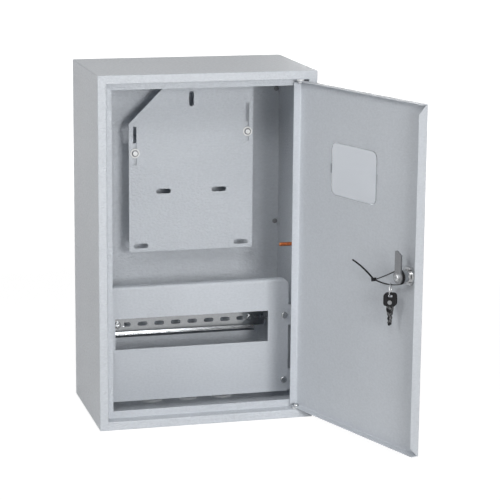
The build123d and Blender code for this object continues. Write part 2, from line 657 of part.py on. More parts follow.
# Copper plated weld stud for the protective earth
with BuildPart() as earth_stud:
    with BuildSketch(Plane.YZ.offset(WALL_FACE)):
        with Locations((STUD_Y, STUD_Z)):
            Circle(STUD_FLANGE / 2)
    extrude(amount=-STUD_FLANGE_HEIGHT)
    with BuildSketch(Plane.YZ.offset(WALL_FACE)):
        with Locations((STUD_Y, STUD_Z)):
            Circle(STUD / 2)
    extrude(amount=-STUD_LENGTH)
    chamfer(earth_stud.faces().sort_by(Axis.X)[0].edges(), STUD_CHAMFER)
save(earth_stud, "earth_stud")

# Door: a shallow pan with a deeper, mitred flange at its free edge, open corners, window and lock holes
with BuildPart() as door:
    with BuildSketch(door_face(DOOR_OUT)):
        with Locations(DOOR_MIDDLE):
            Rectangle(DOOR_WIDTH, DOOR_HEIGHT)
    extrude(amount=-FREE_FLANGE)
    fillet(door.faces().sort_by(INWARD)[0].edges(), DOOR_BEND)
    offset(amount=-SHEET, openings=door.faces().sort_by(INWARD)[-1])
    # Top, bottom and hinge flanges are shallower than the free edge's
    with BuildSketch(door_face(DOOR_OUT + DOOR_FLANGE)):
        with Locations((DOOR_MIDDLE[0] + SHEET / 2, DOOR_MIDDLE[1])):
            Rectangle(DOOR_WIDTH - SHEET, DOOR_HEIGHT)
    extrude(amount=DOOR_FLANGE - FREE_FLANGE, mode=Mode.SUBTRACT)
    # Mitred ends of the free flange, cut through its own sheet only
    free_plane = Plane(origin=DOOR.from_local_coords((FREE_EDGE, 0, 0)), x_dir=DOOR.y_dir, z_dir=DOOR.x_dir)
    with BuildSketch(free_plane):
        for end, inward in ((DOOR_LOW, 1), (DOOR_HIGH, -1)):
            with BuildLine():
                Polyline(
                    (DOOR_OUT + DOOR_BEND, end),
                    (DOOR_OUT + FREE_FLANGE, end),
                    (DOOR_OUT + FREE_FLANGE, end + inward * FLANGE_MITRE),
                    close=True,
                )
            make_face()
    extrude(amount=SHEET, mode=Mode.SUBTRACT)
    # Open corners between the hinge flange and the top and bottom flanges
    with BuildSketch(door_face(DOOR_OUT + DOOR_BEND)):
        with Locations(*[(HINGE_EDGE - SHEET / 2, z) for z in (DOOR_LOW + SHEET, DOOR_HIGH - SHEET)]):
            Rectangle(SHEET, 2 * (SHEET + CORNER_RELIEF))
    extrude(amount=DOOR_BEND - DOOR_FLANGE, mode=Mode.SUBTRACT)
    with BuildSketch(door_face(DOOR_OUT)):
        with Locations(PANE_MIDDLE):
            RectangleRounded(PANE_WIDTH, PANE_HEIGHT, PANE_RADIUS)
    extrude(amount=-SHEET, mode=Mode.SUBTRACT)
    with BuildSketch(door_face(DOOR_OUT)):
        with Locations(LOCK):
            Circle(BARREL / 2 + BARREL_HOLE_EASE)
            Rectangle(BARREL_FLATS + 2 * BARREL_HOLE_EASE, 2 * BARREL, mode=Mode.INTERSECT)
    extrude(amount=-SHEET, mode=Mode.SUBTRACT)
    with Locations((HINGE_X, HINGE_Y, DOOR_LOW + SHEET / 2), (HINGE_X, HINGE_Y, DOOR_HIGH - SHEET / 2)):
        Cylinder(PIN / 2 + PIN_RIVET_EASE, 2 * SHEET, mode=Mode.SUBTRACT)
save(door, "door")

# Hinge pins riveted in the door's flanges and turning in the rebate, with spacer washers in the gap
for name, seat, outward in (("lower", DOOR_LOW + SHEET, -1), ("upper", DOOR_HIGH - SHEET, 1)):
    shank = SHEET + DOOR_GAP + SHEET + PIN_REACH
    with BuildPart() as hinge_pin:
        with BuildSketch(Plane.XY.offset(seat)):
            with Locations((HINGE_X, HINGE_Y)):
                Circle(PIN / 2)
        extrude(amount=outward * shank)
        with BuildSketch(Plane.XY.offset(seat)):
            with Locations((HINGE_X, HINGE_Y)):
                Circle(PIN_HEAD / 2)
        extrude(amount=-outward * PIN_HEAD_HEIGHT)
        dome = hinge_pin.faces().sort_by(Axis.Z)[-1 if outward < 0 else 0]
        fillet(dome.edges(), PIN_HEAD_HEIGHT / 2)
    save(hinge_pin, f"hinge_pin_{name}")
    with BuildPart() as hinge_washer:
        with BuildSketch(Plane.XY.offset(seat + outward * (SHEET + HINGE_WASHER_PLAY))):
            with Locations((HINGE_X, HINGE_Y)):
                Circle(HINGE_WASHER / 2)
                Circle(PIN / 2 + PIN_PLAY, mode=Mode.SUBTRACT)
        extrude(amount=outward * (DOOR_GAP - 2 * HINGE_WASHER_PLAY))
    save(hinge_washer, f"hinge_washer_{name}")

# Clear pane: rim outside the door, body in the cut-out, a hook behind the sheet on each side
with BuildPart() as window_pane:
    with BuildSketch(door_face(DOOR_OUT)):
        with Locations(PANE_MIDDLE):
            RectangleRounded(PANE_WIDTH + 2 * PANE_RIM, PANE_HEIGHT + 2 * PANE_RIM, PANE_RADIUS + PANE_RIM)
    extrude(amount=PANE_RIM_THICKNESS)
    with BuildSketch(door_face(DOOR_OUT)):
        with Locations(PANE_MIDDLE):
            RectangleRounded(PANE_WIDTH - 2 * PANE_EASE, PANE_HEIGHT - 2 * PANE_EASE, PANE_RADIUS - PANE_EASE)
    extrude(amount=-SHEET - PANE_PROUD)
    with BuildSketch(door_face(DOOR_IN + PANE_HOOK_EASE)):
        with Locations(PANE_MIDDLE):
            with GridLocations(PANE_WIDTH, 1, 2, 1):
                Rectangle(2 * PANE_HOOK, PANE_HOOK_HEIGHT)
    extrude(amount=-PANE_HOOK_THICKNESS)
save(window_pane, "window_pane")

# Lock body with a flatted barrel, its nut, and the plug that turns in it
with BuildPart() as lock_body:
    with BuildSketch(door_face(DOOR_OUT)):
        with Locations(LOCK):
            Circle(LOCK_HEAD / 2)
    extrude(amount=LOCK_HEAD_HEIGHT)
    fillet(lock_body.faces().sort_by(INWARD)[0].edges(), LOCK_HEAD_HEIGHT / 2)
    with BuildSketch(door_face(DOOR_OUT)):
        with Locations(LOCK):
            Circle(BARREL / 2)
            Rectangle(BARREL_FLATS, 2 * BARREL, mode=Mode.INTERSECT)
    extrude(amount=DOOR_OUT - BARREL_END)
    with BuildSketch(door_face(DOOR_OUT - LOCK_HEAD_HEIGHT)):
        with Locations(LOCK):
            Circle(PLUG / 2 + PLUG_PLAY)
    extrude(amount=DOOR_OUT - LOCK_HEAD_HEIGHT - BARREL_END, mode=Mode.SUBTRACT)
save(lock_body, "lock_body")

with BuildPart() as lock_nut:
    with BuildSketch(door_face(DOOR_IN)):
        with Locations(LOCK):
            RegularPolygon(LOCK_NUT_FLATS / 2, 6, major_radius=False)
            Circle(BARREL / 2 + BARREL_HOLE_EASE, mode=Mode.SUBTRACT)
    extrude(amount=-LOCK_NUT_HEIGHT)
save(lock_nut, "lock_nut")

with BuildPart() as lock_plug:
    with BuildSketch(door_face(PLUG_FACE)):
        with Locations(LOCK):
            Circle(PLUG / 2)
    extrude(amount=PLUG_FACE - CAM_FACE)
    with BuildSketch(door_face(CAM_FACE)):
        with Locations(LOCK):
            Rectangle(CAM_SQUARE, CAM_SQUARE)
    extrude(amount=CAM_SQUARE_SHORT - CAM_THICKNESS)
    with BuildSketch(door_face(PLUG_FACE)):
        with Locations(LOCK):
            Rectangle(KEYWAY_WIDTH, KEYWAY_HEIGHT)
    extrude(amount=-KEYWAY_DEPTH, mode=Mode.SUBTRACT)
    with BuildSketch(door_face(CAM_BACK)):
        with Locations(LOCK):
            Circle(SCREW / 2)
    extrude(amount=SCREW_LENGTH, mode=Mode.SUBTRACT)
save(lock_plug, "lock_plug")

# Cam lever, pointing up at rest and turned towards the free edge to latch behind the stop lip
with BuildPart() as lock_cam:
    with BuildSketch(door_face(CAM_FACE)) as cam_outline:
        with Locations(LOCK):
            Circle(CAM_HUB)
        with Locations((LOCK[0], LOCK[1] + CAM_REACH / 2)):
            Rectangle(CAM_WIDTH, CAM_REACH)
        tip = cam_outline.vertices().group_by(Axis.Y)[-1].sort_by(Axis.X)
        chamfer(tip[0], CAM_WIDTH - CAM_TIP_FLAT, CAM_TIP_SLOPE)
        fillet(cam_outline.vertices().group_by(Axis.Y)[-1], CAM_TIP_RADIUS)
        square_hole = CAM_SQUARE + 2 * CAM_SQUARE_EASE
        with Locations(LOCK):
            Rectangle(square_hole, square_hole, mode=Mode.SUBTRACT)
    extrude(amount=-CAM_THICKNESS)
save(lock_cam, "lock_cam")

with BuildPart() as cam_washer:
    with BuildSketch(door_face(CAM_BACK)):
        with Locations(LOCK):
            Circle(CAM_WASHER / 2)
            Circle(SCREW_HOLE / 2, mode=Mode.SUBTRACT)
    extrude(amount=-CAM_WASHER_THICKNESS)
save(cam_washer, "cam_washer")
save(pan_head_screws([(-LOCK[0], LOCK[1])], -CAM_SCREW_SEAT, door_back, CAM_SCREW_LENGTH), "cam_screw")

# Cable tie: a loop round the barrel, pulled down by the keys, that closes in the tie's head, with its tail
# standing up
head_at = around_lock(TIE_REACH, -TIE_DROOP)
upper_leaves = around_lock(TIE_OUTER, TIE_UPPER_LEAVES)
lower_leaves = around_lock(TIE_OUTER, TIE_LOWER_LEAVES)
far_side = around_lock(TIE_OUTER, (TIE_UPPER_LEAVES + TIE_LOWER_LEAVES) / 2)
upper = radians(TIE_UPPER_LEAVES)
lower = radians(TIE_LOWER_LEAVES)
with BuildLine() as tie_loop:
    ThreePointArc(upper_leaves, far_side, lower_leaves)
    lower_strand = TangentArc(lower_leaves, head_at, tangent=(-sin(lower), cos(lower)))
    TangentArc(upper_leaves, head_at, tangent=(sin(upper), -cos(upper)))
with BuildPart() as cable_tie:
    with BuildSketch(door_face(TIE_Y - TIE_WIDTH / 2)):
        make_face(tie_loop.edges())
        offset(amount=-TIE_THICKNESS, mode=Mode.SUBTRACT)
    extrude(amount=-TIE_WIDTH)
    with BuildSketch(door_face(TIE_Y - TIE_WIDTH / 2)):
        with BuildLine() as tail:
            SagittaArc(head_at, (head_at[0] + TIE_TAIL[0], head_at[1] + TIE_TAIL[1]), TIE_TAIL_BOW)
        trace(tail.edges(), TIE_THICKNESS)
    extrude(amount=-TIE_WIDTH)
    with BuildSketch(door_face(TIE_Y - TIE_HEAD_DEPTH / 2)):
        with Locations(head_at):
            Rectangle(TIE_HEAD_LENGTH, TIE_HEAD_WIDTH, rotation=-TIE_DROOP)
    extrude(amount=-TIE_HEAD_DEPTH)
save(cable_tie, "cable_tie")

# Key ring hanging on the lower strand, twisted so that the keys face the cabinet's front
strand_at = lower_strand @ RING_ALONG_STRAND
ring_inner = RING_RADIUS - RING_WIRE / 2
twist = radians(KEY_TWIST)
half_strap = TIE_WIDTH / 2 / cos(twist) + RING_WIRE / 2
ring_z = strand_at.Y + TIE_THICKNESS + RING_CLEAR - sqrt(ring_inner**2 - half_strap**2)
ring_at = DOOR.from_local_coords((strand_at.X, TIE_Y, ring_z))
KEY_NORMAL = DOOR.y_dir.rotate(Axis.Z, KEY_TWIST)
KEY_ACROSS = KEY_NORMAL.rotate(Axis.Z, 90)
with BuildPart() as key_ring:
    with Locations(Plane(origin=ring_at, x_dir=(0, 0, 1), z_dir=KEY_ACROSS)):
        Torus(RING_RADIUS, RING_WIRE / 2)
save(key_ring, "key_ring")

# Two keys with moulded bows, side by side on the ring and slightly splayed
eye_reach = BOW_THICKNESS + KEY_GAP / 2
eye_top = RING_CLEAR - sqrt(ring_inner**2 - eye_reach**2)
for number, place in ((1, 1), (2, -1)):
    bow_at = ring_at + KEY_NORMAL * (place * (BOW_THICKNESS + KEY_GAP) / 2)
    splayed = KEY_ACROSS.rotate(Axis((0, 0, 0), KEY_NORMAL), place * KEY_SPLAY / 2)
    KEY = Plane(origin=bow_at, x_dir=splayed, z_dir=KEY_NORMAL)
    bow_top = eye_top + BOW_EYE_DROP
    bow_low = bow_top - BOW_HEIGHT
    with BuildPart() as key_bow:
        with BuildSketch(KEY):
            with Locations((0, bow_top - BOW_HEIGHT / 2)):
                RectangleRounded(BOW_WIDTH, BOW_HEIGHT, BOW_CORNER)
            with Locations((0, eye_top - BOW_EYE_HEIGHT / 2)):
                Rectangle(BOW_EYE_WIDTH, BOW_EYE_HEIGHT, mode=Mode.SUBTRACT)
        extrude(amount=BOW_THICKNESS / 2, both=True)
    save(key_bow, f"key_{number}_bow")
    shoulder = bow_low - NECK_LENGTH
    right_edge = [(NECK_WIDTH / 2, bow_low), (NECK_WIDTH / 2, shoulder + NECK_LENGTH / 2)]
    for step in range(BLADE_STEPS + 1):
        cut = BLADE_CUT if step % 2 == 0 else 0
        right_edge.append((BLADE_WIDTH / 2 - cut, shoulder - step * BLADE_LENGTH / BLADE_STEPS))
    left_edge = [(-x, z) for x, z in reversed(right_edge)]
    with BuildPart() as key_blade:
        with BuildSketch(KEY):
            with BuildLine():
                Polyline(*right_edge, *left_edge, close=True)
            make_face()
        extrude(amount=BLADE_THICKNESS / 2, both=True)
    save(key_blade, f"key_{number}_blade")
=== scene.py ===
import json
from math import cos, radians, sin

import bpy
from mathutils import Matrix, Vector


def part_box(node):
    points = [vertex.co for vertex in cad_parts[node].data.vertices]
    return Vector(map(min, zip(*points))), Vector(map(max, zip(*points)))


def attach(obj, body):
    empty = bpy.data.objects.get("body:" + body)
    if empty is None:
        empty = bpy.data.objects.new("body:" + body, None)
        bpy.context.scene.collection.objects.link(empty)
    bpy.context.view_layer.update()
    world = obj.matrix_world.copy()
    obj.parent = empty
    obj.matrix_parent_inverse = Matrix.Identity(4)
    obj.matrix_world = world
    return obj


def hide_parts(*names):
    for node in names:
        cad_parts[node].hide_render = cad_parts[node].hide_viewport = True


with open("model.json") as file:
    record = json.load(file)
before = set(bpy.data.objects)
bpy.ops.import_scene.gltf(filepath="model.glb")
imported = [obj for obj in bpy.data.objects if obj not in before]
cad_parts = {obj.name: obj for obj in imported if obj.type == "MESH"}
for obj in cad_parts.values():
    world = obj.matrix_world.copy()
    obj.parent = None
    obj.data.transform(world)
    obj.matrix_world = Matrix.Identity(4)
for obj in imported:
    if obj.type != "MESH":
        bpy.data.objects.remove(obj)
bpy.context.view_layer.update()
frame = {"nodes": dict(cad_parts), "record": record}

# The camera, fitted to the cabinet's corners, its rebate and the open door
CAMERA_PLACE = (-0.6412, -2.6879, 0.8387)
CAMERA_TURN = radians(-15.128)
CAMERA_TILT = radians(-12.366)
CAMERA_ROLL = radians(-0.509)
CAMERA_LENS = 141.47
CAMERA_FILM = 36
CAMERA_FAR = 200

# Studio lamps, all aimed at one point: turn to the right of the cabinet's front, rise above level,
# distance from that point, width and power
LAMPS = {
    "key_lamp": (radians(5), radians(9), 3.0, 0.7, 35.5),
    "left_softbox": (radians(-62), radians(32), 3.0, 1.2, 20),
    "front_softbox": (radians(-16), radians(32), 3.0, 0.6, 12),
    "top_softbox": (radians(0), radians(65), 2.5, 1.2, 8),
    "right_softbox": (radians(95), radians(25), 2.5, 1.5, 10),
    "back_softbox": (radians(155), radians(2), 2.5, 0.6, 14),
}
AIM = (0.05, 0.0, 0.25)
WHITE = (1, 1, 1)
ROOM_LIGHT = 0.08           # strength of the room's light on the object
ROOM_SEEN = 1               # and of the room as the camera, metal and glass see it
FLOOR_SIZE = 80
FLOOR_GREY = (0.88, 0.88, 0.88)
FLOOR_ROUGHNESS = 0.9
FLOOR_GLOW = 1.22
FLOOR_GLOW_SHARE = 0.75     # near the object, where the rest of the floor's look is its light and shadow
FLOOR_NEAR = 0.9            # metres from the middle: from here on the share grows
FLOOR_FAR = 2.0             # and here it is 1

# Finishes, in linear colour
COAT_GREY = (0.640, 0.670, 0.710)
COAT_GREY_DEEP = (0.560, 0.588, 0.625)
ZINC_PALE = (0.62, 0.63, 0.64)
ZINC_DARK = (0.32, 0.33, 0.34)
RAIL_PALE = (0.38, 0.39, 0.40)
RAIL_DARK = (0.25, 0.26, 0.27)
SATIN_PALE = (0.33, 0.335, 0.345)
SATIN_DARK = (0.25, 0.255, 0.265)
NICKEL_PALE = (0.68, 0.685, 0.69)
NICKEL_DARK = (0.48, 0.485, 0.49)
COPPER_BRIGHT = (0.78, 0.36, 0.17)
COPPER_DULL = (0.47, 0.18, 0.08)
NYLON_WHITE = (0.93, 0.93, 0.925)
NYLON_WHITE_DEEP = (0.87, 0.87, 0.86)
NYLON_BLACK = (0.010, 0.010, 0.011)
NYLON_BLACK_PALE = (0.022, 0.022, 0.024)
BOW_BLACK = (0.012, 0.012, 0.013)
BOW_BLACK_PALE = (0.028, 0.028, 0.030)
KEY_PALE = (0.150, 0.152, 0.156)
KEY_DARK = (0.006, 0.006, 0.007)
PANE_GREY = (0.60, 0.625, 0.66)
PANE_GREY_DEEP = (0.55, 0.575, 0.61)
BLANK_GREY = (0.60, 0.615, 0.63)
BLANK_GREY_DEEP = (0.54, 0.555, 0.57)

# Depths of the finishes' textures, in metres
COARSE_PEEL = 0.0006
FINE_PEEL = 0.00025
FINE_GRAIN = 0.0001
BOW_GRAIN = 0.00015
PANE_WAVE = 0.0002

# Angles between neighbouring faces
TURNED_SMOOTH = radians(25)     # turned pieces are shaded smooth up to this
KEY_SMOOTH = radians(35)        # and the keys up to this
KEY_SHARP = radians(40)         # the keys' edges are rounded from this on

# The earth stud's thread, in metres
STUD_FLANGE = 0.001
STUD_FLANGE_RADIUS = 0.0045
STUD_NECK = 0.0008
THREAD_CREST = 0.0030
THREAD_ROOT = 0.00245
THREAD_PITCH = 0.001
TIP_RADIUS = 0.0022
TIP_CHAMFER = 0.0007
TIP_THREAD = 0.6            # share of the thread's height where the chamfer ends
TURNED_SIDES = 40

# The way that the cups, the caps and the rivets point
FORWARD = Vector((0, -1, 0))

# The white cups and caps of the meter plate's screws: stations outwards from the plate's face, each
# a distance and a radius
WASHER_RADIUS = 0.00625     # of the plain washers that the cups replace
CUP = [(0, 0.0070), (0.0016, 0.0070), (0.0021, 0.0066), (0.0021, 0.00495), (0.0010, 0.00485)]
CAP = [(0.0033, 0.0033), (0.0043, 0.0033), (0.0046, 0.0030), (0.0046, 0.0012), (0.0039, 0.0009)]

# Blind rivets of the back panel: distance from the middle to either side, heights, and stations
# outwards from the panel
RIVET_ASIDE = 0.149
RIVET_HEIGHTS = (0.05, 0.25, 0.45)
BACK_SHEET = 0.001
RIVET = [
    (-0.0003, 0.0037), (0.0005, 0.0037), (0.0011, 0.0031), (0.0014, 0.0022), (0.0014, 0.0014),
    (0.0002, 0.0012),
]

# The keys: the way they face, how far apart and how far splayed they hang, and heights from the
# ring's middle
KEYS_FACE = radians(241)
KEYS_FACE_MODELLED = radians(270)   # before they are turned
KEYS_APART = 0.0044
KEY_SPLAY = radians(0.6)
KEY_EDGE_STEPS = 2
BOW_WIDTH = 0.0170
BOW_THICKNESS = 0.0040
BOW_TOP = -0.0046
BOW_LOW = -0.0220
BOW_CORNER = 0.0042
BOW_CORNER_STEPS = 6
BOW_BORDER = 0.0018
BOW_HOLLOW = 0.0005
BOW_EDGE = 0.0004
BOW_FACING = 0.9            # least share of a normal along the thickness on the bow's two broad faces
EYE_WIDTH = 0.0070
EYE_DEPTH = 3 * BOW_THICKNESS
EYE_TOP = -0.00646
EYE_LOW = -0.0111
BLADE_THICKNESS = 0.0020
BLADE_EDGE = 0.0002
# Heights and half widths down the neck, the shoulder and the cuts to the tip
BLADE = [
    (-0.0220, 0.00435), (-0.0270, 0.00435), (-0.0310, 0.0033), (-0.0342, 0.0030), (-0.0350, 0.0019),
    (-0.0368, 0.0017), (-0.0376, 0.0025), (-0.0398, 0.0025), (-0.0408, 0.0016), (-0.0424, 0.0016),
    (-0.0432, 0.0020), (-0.0448, 0.0020), (-0.0456, 0.0016), (-0.0474, 0.0016), (-0.0484, 0.0009),
]

# The rosettes on the keys' bows: their height, and the stations of a rosette from the bow outwards
ROSETTE_AT = -0.0168
ROSETTE = [
    (-0.00060, 0.0029), (0.00020, 0.0029), (0.00035, 0.0027), (0.00035, 0.0022),
    (0.00010, 0.0020), (0.00010, 0.0011), (0.00030, 0.0009), (0.00036, 0.0004),
]


class Value:
    """A node's output: an expression on it adds Math nodes."""

    def __init__(self, graph, socket):
        self.graph = graph
        self.socket = socket

    def maths(self, operation, first, second):
        return self.graph.node("ShaderNodeMath", {"operation": operation}, {0: first, 1: second})

    def __add__(self, other):
        return self.maths("ADD", self, other)

    def __radd__(self, other):
        return self.maths("ADD", other, self)

    def __mul__(self, other):
        return self.maths("MULTIPLY", self, other)

    def __rmul__(self, other):
        return self.maths("MULTIPLY", other, self)

    def __or__(self, other):
        return self.maths("MAXIMUM", self, other)


class Graph:
    """The nodes of a finish or of the room."""

    def __init__(self, tree):
        self.tree = tree

    def node(self, kind, settings=None, sockets=None, out=0):
        made = self.tree.nodes.new(kind)
        for setting, value in (settings or {}).items():
            if setting == "stops":
                for stop, (place, shade) in zip(made.color_ramp.elements, value):
                    stop.position = place
                    stop.color = (shade, shade, shade, 1)
            else:
                setattr(made, setting, value)
        for socket, value in (sockets or {}).items():
            self.join(made.inputs[socket], value)
        return Value(self, made.outputs[out])

    def given(self, name, sockets):
        """The output of a node that is there from the start, with these sockets filled."""
        there = self.tree.nodes[name]
        for socket, value in sockets.items():
            self.join(there.inputs[socket], value)
        return Value(self, there.outputs[0])

    def join(self, socket, value):
        if isinstance(value, Value):
            self.tree.links.new(value.socket, socket)
        elif socket.type == "RGBA":
            socket.default_value = (*value, 1)
        else:
            socket.default_value = value

    def seen(self):
        """1 on the rays of the camera, metal and glass, and 0 on those that light the object."""
        rays = ("Is Camera Ray", "Is Glossy Ray", "Is Transmission Ray")
        camera, metal, glass = (self.node("ShaderNodeLightPath", out=ray) for ray in rays)
        return camera | metal | glass

    def show(self, output, share, first, second):
        """Show a share of the second shader and the rest of the first."""
        mix = self.node("ShaderNodeMixShader", sockets={0: share, 1: first, 2: second})
        self.join(self.tree.nodes[output].inputs["Surface"], mix)


class Finish(Graph):
    """A surface finish: a Principled shader and the nodes that feed it."""

    def __init__(self, name, constants):
        self.material = bpy.data.materials.new(name)
        self.material.use_nodes = True
        super().__init__(self.material.node_tree)
        self.surface = self.given("Principled BSDF", constants)
        self.place = self.node("ShaderNodeTexCoord", out="Object")

    def feed(self, socket, value):
        self.given("Principled BSDF", {socket: value})

    def stretched(self, stretch):
        """The place on the piece, with each axis counted that many times."""
        return self.node("ShaderNodeMapping", sockets={"Vector": self.place, "Scale": stretch})

    def noise(self, scale, detail=2, place=None):
        sockets = {"Vector": place or self.place, "Scale": scale, "Detail": detail}
        return self.node("ShaderNodeTexNoise", sockets=sockets, out="Fac")

    def cells(self, scale):
        sockets = {"Vector": self.place, "Scale": scale}
        return self.node("ShaderNodeTexVoronoi", sockets=sockets, out="Color")

    def between(self, low, high, share):
        settings = {"data_type": "RGBA"}
        return self.node("ShaderNodeMix", settings, {"Factor": share, 6: low, 7: high}, out=2)

    def contrast(self, value, low, high):
        stops = [(low, 0), (high, 1)]
        return self.node("ShaderNodeValToRGB", {"stops": stops}, {"Fac": value})

    def bump(self, height, strength, depth=FINE_GRAIN):
        sockets = {"Height": height, "Strength": strength, "Distance": depth}
        self.feed("Normal", self.node("ShaderNodeBump", sockets=sockets))


def powder_coat(name, peel_depth):
    """Light grey powder coat with the orange peel that its flow leaves."""
    coat = Finish(name, {"Specular IOR Level": 0.3})
    flow = coat.noise(400, detail=1, place=coat.stretched((0.6, 0.6, 1)))
    peel = coat.contrast(flow, low=0.3, high=0.7)
    fine = coat.noise(2100, detail=1)
    cloud = coat.contrast(coat.noise(7, detail=3), low=0.35, high=0.65)
    coat.feed("Base Color", coat.between(COAT_GREY, COAT_GREY_DEEP, 0.3*cloud + 0.5*peel + 0.2*fine))
    coat.feed("Roughness", 0.34 + 0.12*peel)
    coat.bump(peel + 0.1*fine, strength=0.7, depth=peel_depth)
    return coat.material


def rail_zinc():
    """Zinc on the rail, its brackets and screws: a faint spangle over lines along the rolling."""
    zinc = Finish("rail_zinc", {"Metallic": 1})
    spangle = zinc.cells(260)
    lines = zinc.noise(40, place=zinc.stretched((1, 45, 45)))
    zinc.feed("Base Color", zinc.between(RAIL_PALE, RAIL_DARK, 0.7*lines + 0.3*spangle))
    zinc.feed("Roughness", 0.10 + 0.03*spangle + 0.05*lines)
    zinc.bump(lines, strength=0.05)
    return zinc.material


def screw_zinc():
    """Zinc on turned and pressed small parts."""
    zinc = Finish("screw_zinc", {"Metallic": 1})
    cloud = zinc.noise(420, detail=3)
    fine = zinc.noise(2600)
    zinc.feed("Base Color", zinc.between(ZINC_PALE, ZINC_DARK, 0.7*cloud))
    zinc.feed("Roughness", 0.16 + 0.18*fine)
    zinc.bump(fine, strength=0.1)
    return zinc.material


def satin_steel():
    """Satin steel of the lock's lever, the plate's screws, the rivets and the keys' rosettes."""
    steel = Finish("satin_steel", {"Metallic": 1})
    lines = steel.noise(120, place=steel.stretched((1, 1, 14)))
    cloud = steel.noise(260, detail=3)
    steel.feed("Base Color", steel.between(SATIN_PALE, SATIN_DARK, 0.5*lines + 0.5*cloud))
    steel.feed("Roughness", 0.34 + 0.14*lines)
    steel.bump(lines, strength=0.1)
    return steel.material


def nickel():
    """Bright nickel on the die-cast lock and the ring."""
    plate = Finish("nickel", {"Metallic": 1})
    cloud = plate.noise(300)
    fine = plate.noise(3200)
    plate.feed("Base Color", plate.between(NICKEL_PALE, NICKEL_DARK, cloud))
    plate.feed("Roughness", 0.08 + 0.08*cloud + 0.04*fine)
    plate.bump(fine, strength=0.03)
    return plate.material


def copper_plate():
    """Copper plating that has dulled a little."""
    plate = Finish("copper_plate", {"Metallic": 1})
    dull = plate.contrast(plate.noise(380, detail=4), low=0.35, high=0.7)
    plate.feed("Base Color", plate.between(COPPER_BRIGHT, COPPER_DULL, dull))
    plate.feed("Roughness", 0.26 + 0.22*dull)
    plate.bump(plate.noise(3000), strength=0.1)
    return plate.material


def white_nylon():
    """Moulded white nylon."""
    nylon = Finish("white_nylon", {"IOR": 1.53})
    cloud = nylon.noise(260, detail=3)
    nylon.feed("Base Color", nylon.between(NYLON_WHITE, NYLON_WHITE_DEEP, cloud))
    nylon.feed("Roughness", 0.20 + 0.12*cloud)
    nylon.bump(nylon.noise(2400), strength=0.12)
    return nylon.material


def grey_plastic():
    """Light grey moulded blanks with a fine mould texture."""
    plastic = Finish("grey_plastic", {"IOR": 1.5})
    cloud = plastic.noise(180, detail=3)
    grain = plastic.noise(2000)
    plastic.feed("Base Color", plastic.between(BLANK_GREY, BLANK_GREY_DEEP, cloud))
    plastic.feed("Roughness", 0.40 + 0.15*grain)
    plastic.bump(grain, strength=0.2)
    return plastic.material


def black_nylon():
    """Black nylon of the cable tie."""
    nylon = Finish("black_nylon", {"IOR": 1.53, "Specular IOR Level": 0.1})
    cloud = nylon.noise(500, detail=3)
    nylon.feed("Base Color", nylon.between(NYLON_BLACK, NYLON_BLACK_PALE, cloud))
    nylon.feed("Roughness", 0.36 + 0.16*cloud)
    nylon.bump(nylon.noise(2600), strength=0.1)
    return nylon.material


def bow_plastic():
    """Black plastic with a fine mould texture."""
    plastic = Finish("bow_plastic", {"IOR": 1.5, "Specular IOR Level": 0.08})
    grain = plastic.noise(2200, detail=3)
    plastic.feed("Base Color", plastic.between(BOW_BLACK, BOW_BLACK_PALE, grain))
    plastic.feed("Roughness", 0.42 + 0.2*grain)
    plastic.bump(grain, strength=0.3, depth=BOW_GRAIN)
    return plastic.material


def key_steel():
    """Dark burnished key blank with milling lines along the blade."""
    blank = Finish("key_steel", {"Metallic": 1})
    lines = blank.noise(90, place=blank.stretched((20, 20, 1)))
    worn = blank.contrast(blank.noise(180), low=0.42, high=0.55)
    blank.feed("Base Color", blank.between(KEY_PALE, KEY_DARK, 0.85*worn + 0.15*lines))
    blank.feed("Roughness", 0.24 + 0.2*lines)
    blank.bump(lines, strength=0.1)
    return blank.material


def pane_plastic():
    """Lightly smoked clear plastic."""
    pane = Finish("pane_plastic", {"IOR": 1.49, "Transmission Weight": 0.8})
    haze = pane.noise(35, detail=3)
    pane.feed("Base Color", pane.between(PANE_GREY, PANE_GREY_DEEP, haze))
    pane.feed("Roughness", 0.03 + 0.06*haze)
    pane.bump(pane.noise(60, detail=1), strength=0.03, depth=PANE_WAVE)
    return pane.material


# Finishes by the record's slots, and those of single pieces that differ from their slot's
FINISHES = {
    "powder_coat": powder_coat("powder_coat", COARSE_PEEL),
    "zinc": screw_zinc(),
    "nickel": nickel(),
    "copper_plate": copper_plate(),
    "white_nylon": white_nylon(),
    "grey_plastic": grey_plastic(),
    "black_nylon": black_nylon(),
    "black_plastic": bow_plastic(),
    "key_steel": key_steel(),
    "clear_plastic": pane_plastic(),
}
SMOOTH_COAT = powder_coat("smooth_coat", FINE_PEEL)
RAIL_ZINC = rail_zinc()
SATIN_STEEL = satin_steel()
NODE_FINISHES = {
    "door": SMOOTH_COAT,
    "front_panel": SMOOTH_COAT,
    "din_rail": RAIL_ZINC,
    "din_bracket_left": RAIL_ZINC,
    "din_bracket_right": RAIL_ZINC,
    "rail_screws": RAIL_ZINC,
    "lock_cam": SATIN_STEEL,
    "meter_plate_screws": SATIN_STEEL,
}


def dress(piece, material):
    piece.data.materials.clear()
    piece.data.materials.append(material)


for part in frame["record"]["subparts"]:
    dress(frame["nodes"][part["node"]], FINISHES[part["material_slot"]])
for name, finish in NODE_FINISHES.items():
    dress(frame["nodes"][name], finish)


def clear_selection():
    bpy.ops.object.select_all(action="DESELECT")


def choose(piece):
    """Make a piece the one that the next operators work on."""
    clear_selection()
    piece.select_set(True)
    bpy.context.view_layer.objects.active = piece


def settle():
    """Put the chosen piece's place, turn and size into its mesh."""
    bpy.ops.object.transform_apply(location=True, rotation=True, scale=True)


def named(name):
    """The piece just added, named and settled."""
    piece = bpy.context.object
    piece.name = name
    settle()
    return piece


